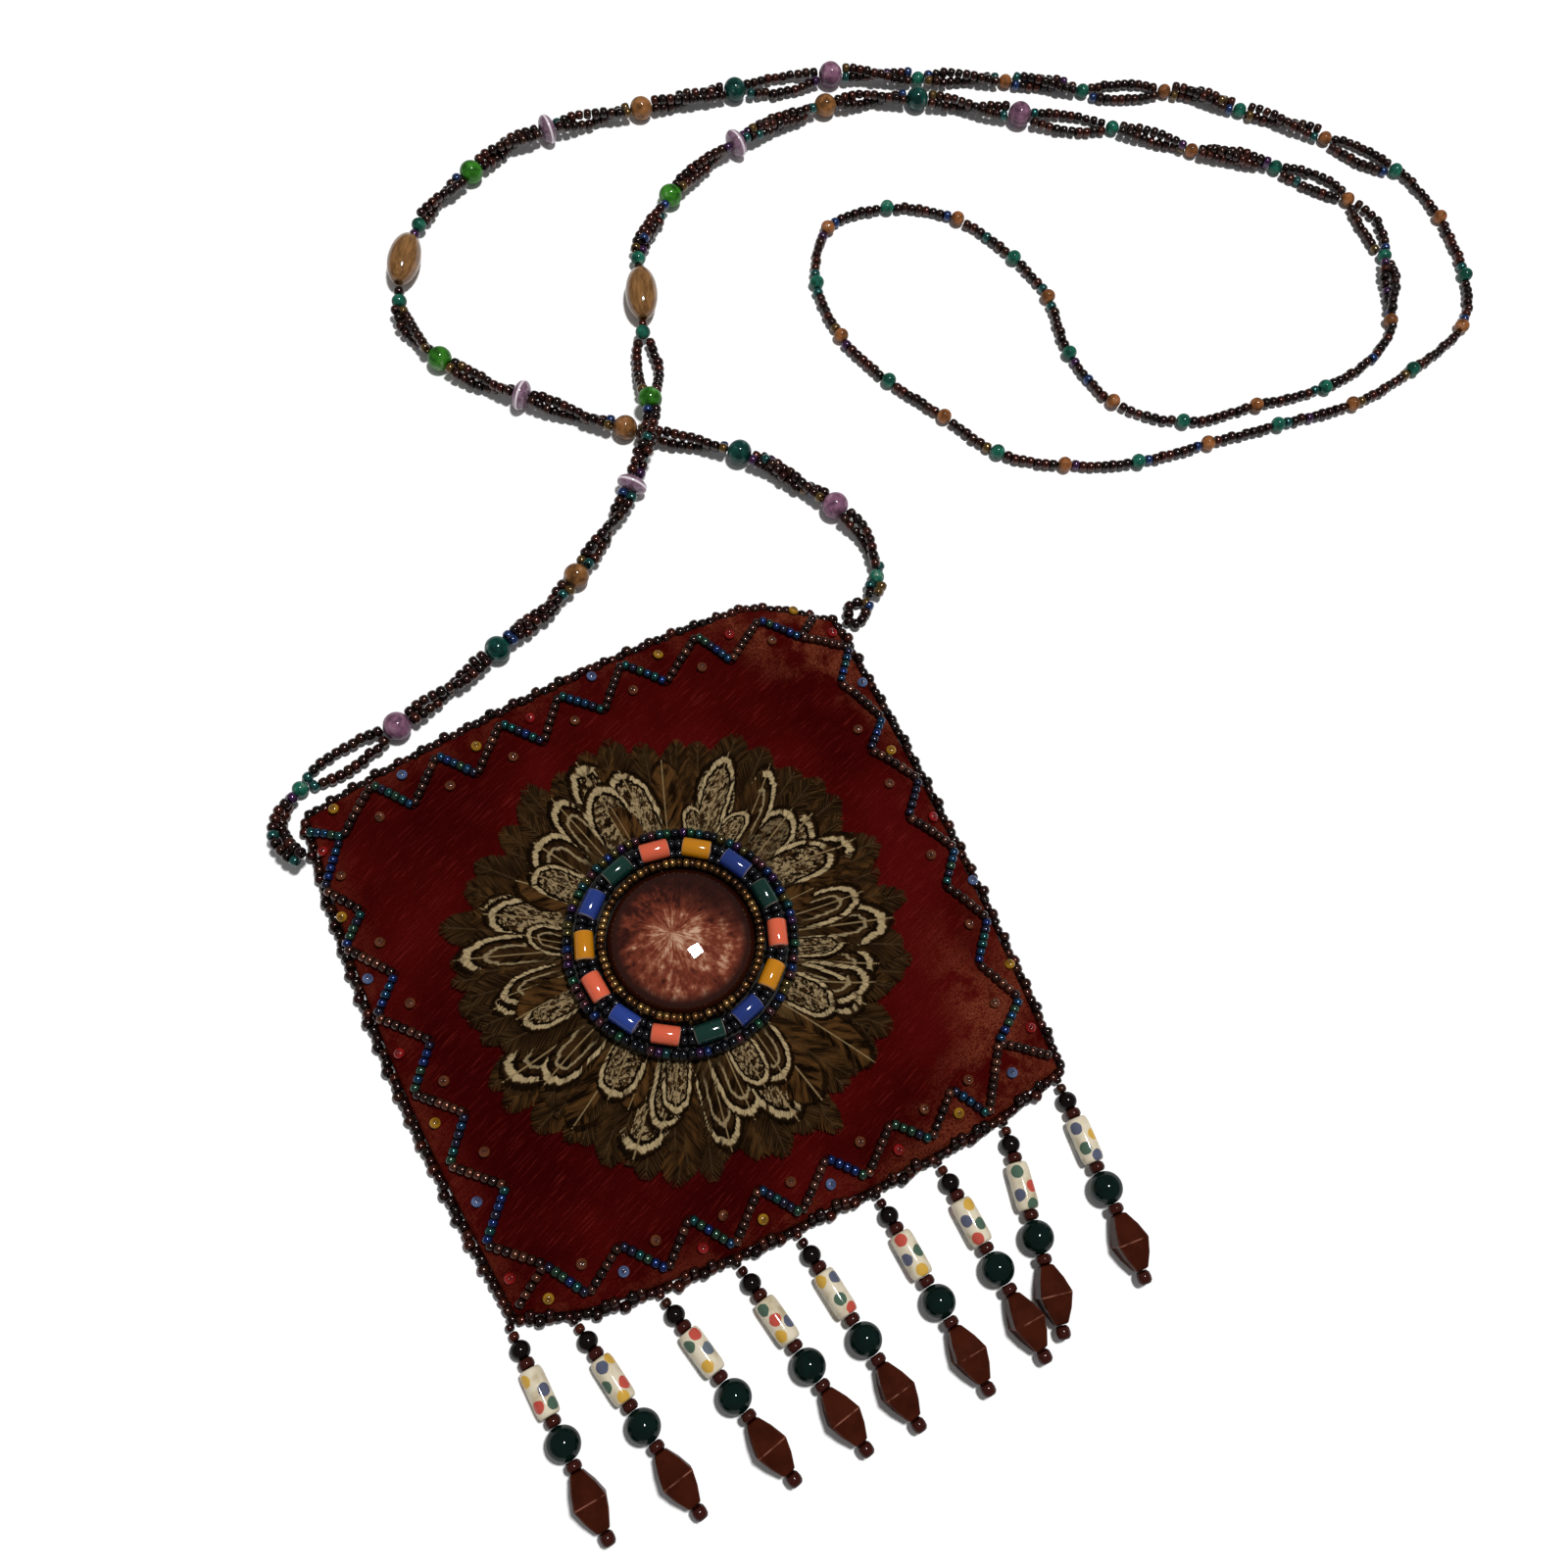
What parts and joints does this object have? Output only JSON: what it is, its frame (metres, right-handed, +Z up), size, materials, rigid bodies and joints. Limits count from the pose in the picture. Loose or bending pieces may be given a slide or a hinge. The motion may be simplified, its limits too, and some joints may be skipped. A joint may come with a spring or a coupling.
{
  "type": "beaded crossbody bag",
  "caption": "Small flat velvet pouch with a feather and bead medallion, beaded zigzag border, bead fringe and a long beaded strap, lying flat.",
  "frame": {"origin": "middle of the pouch's underside, on the surface it lies on", "axes": "+X along the foot edge to the right as seen from the front, +Y towards the mouth, +Z up out of the front"},
  "size_m": [0.3629, 0.3484, 0.0187],
  "materials": {
    "back_velvet": "pile",
    "front_velvet": "pile",
    "dark_seed_glass": "gloss",
    "iridescent_seed_glass": "lustre",
    "outer_feathers": "feather",
    "inner_feathers": "feather",
    "backing_felt": "matt",
    "cabochon_glass": "gloss",
    "gold_seed_glass": "lustre",
    "ceramic_tubes": "gloss",
    "strap_seed_glass": "gloss",
    "fringe_string_glass": "gloss",
    "painted_ceramic": "gloss",
    "bottle_green_glass": "gloss",
    "red_brown_stone": "polished"
  },
  "bodies": {
    "pouch": {"back_panel": "back_velvet", "front_panel": "front_velvet", "edge_beading": "dark_seed_glass", "zigzag_beading": "iridescent_seed_glass", "feathers_outer": "outer_feathers", "feathers_inner": "inner_feathers", "medallion_backing": "backing_felt", "cabochon": "cabochon_glass", "bezel_gold_rows": "gold_seed_glass", "bezel_tube_row": "ceramic_tubes", "bezel_outer_row": "dark_seed_glass", "strap_left": "strap_seed_glass", "strap_neck": "strap_seed_glass", "strap_right": "strap_seed_glass", "corner_loop": "strap_seed_glass"},
    "fringe_1": {"fringe_1_string": "fringe_string_glass", "fringe_1_painted_tube": "painted_ceramic", "fringe_1_round_bead": "bottle_green_glass", "fringe_1_bicone": "red_brown_stone"},
    "fringe_2": {"fringe_2_string": "fringe_string_glass", "fringe_2_painted_tube": "painted_ceramic", "fringe_2_round_bead": "bottle_green_glass", "fringe_2_bicone": "red_brown_stone"},
    "fringe_3": {"fringe_3_string": "fringe_string_glass", "fringe_3_painted_tube": "painted_ceramic", "fringe_3_round_bead": "bottle_green_glass", "fringe_3_bicone": "red_brown_stone"},
    "fringe_4": {"fringe_4_string": "fringe_string_glass", "fringe_4_painted_tube": "painted_ceramic", "fringe_4_round_bead": "bottle_green_glass", "fringe_4_bicone": "red_brown_stone"},
    "fringe_5": {"fringe_5_string": "fringe_string_glass", "fringe_5_painted_tube": "painted_ceramic", "fringe_5_round_bead": "bottle_green_glass", "fringe_5_bicone": "red_brown_stone"},
    "fringe_6": {"fringe_6_string": "fringe_string_glass", "fringe_6_painted_tube": "painted_ceramic", "fringe_6_round_bead": "bottle_green_glass", "fringe_6_bicone": "red_brown_stone"},
    "fringe_7": {"fringe_7_string": "fringe_string_glass", "fringe_7_painted_tube": "painted_ceramic", "fringe_7_round_bead": "bottle_green_glass", "fringe_7_bicone": "red_brown_stone"},
    "fringe_8": {"fringe_8_string": "fringe_string_glass", "fringe_8_painted_tube": "painted_ceramic", "fringe_8_round_bead": "bottle_green_glass", "fringe_8_bicone": "red_brown_stone"},
    "fringe_9": {"fringe_9_string": "fringe_string_glass", "fringe_9_painted_tube": "painted_ceramic", "fringe_9_round_bead": "bottle_green_glass", "fringe_9_bicone": "red_brown_stone"}
  },
  "joints": [
    {"name": "fringe_1_swing", "type": "hinge", "parent": "pouch", "child": "fringe_1", "pos_m": [-0.0665, -0.0625, 0.0017], "axis": [1, 0, 0], "range_deg": [-90, 100]},
    {"name": "fringe_2_swing", "type": "hinge", "parent": "pouch", "child": "fringe_2", "pos_m": [-0.0537, -0.0667, 0.0017], "axis": [1, 0, 0], "range_deg": [-90, 100]},
    {"name": "fringe_3_swing", "type": "hinge", "parent": "pouch", "child": "fringe_3", "pos_m": [-0.0351, -0.0694, 0.0017], "axis": [1, 0, 0], "range_deg": [-90, 100]},
    {"name": "fringe_4_swing", "type": "hinge", "parent": "pouch", "child": "fringe_4", "pos_m": [-0.0175, -0.0701, 0.0017], "axis": [1, 0, 0], "range_deg": [-90, 100]},
    {"name": "fringe_5_swing", "type": "hinge", "parent": "pouch", "child": "fringe_5", "pos_m": [-0.003, -0.07, 0.0017], "axis": [1, 0, 0], "range_deg": [-90, 100]},
    {"name": "fringe_6_swing", "type": "hinge", "parent": "pouch", "child": "fringe_6", "pos_m": [0.0164, -0.0694, 0.0017], "axis": [1, 0, 0], "range_deg": [-90, 100]},
    {"name": "fringe_7_swing", "type": "hinge", "parent": "pouch", "child": "fringe_7", "pos_m": [0.0321, -0.0685, 0.0017], "axis": [1, 0, 0], "range_deg": [-90, 100]},
    {"name": "fringe_8_swing", "type": "hinge", "parent": "pouch", "child": "fringe_8", "pos_m": [0.0497, -0.0666, 0.0017], "axis": [1, 0, 0], "range_deg": [-90, 100]},
    {"name": "fringe_9_swing", "type": "hinge", "parent": "pouch", "child": "fringe_9", "pos_m": [0.0654, -0.0631, 0.0017], "axis": [1, 0, 0], "range_deg": [-90, 100]}
  ]
}
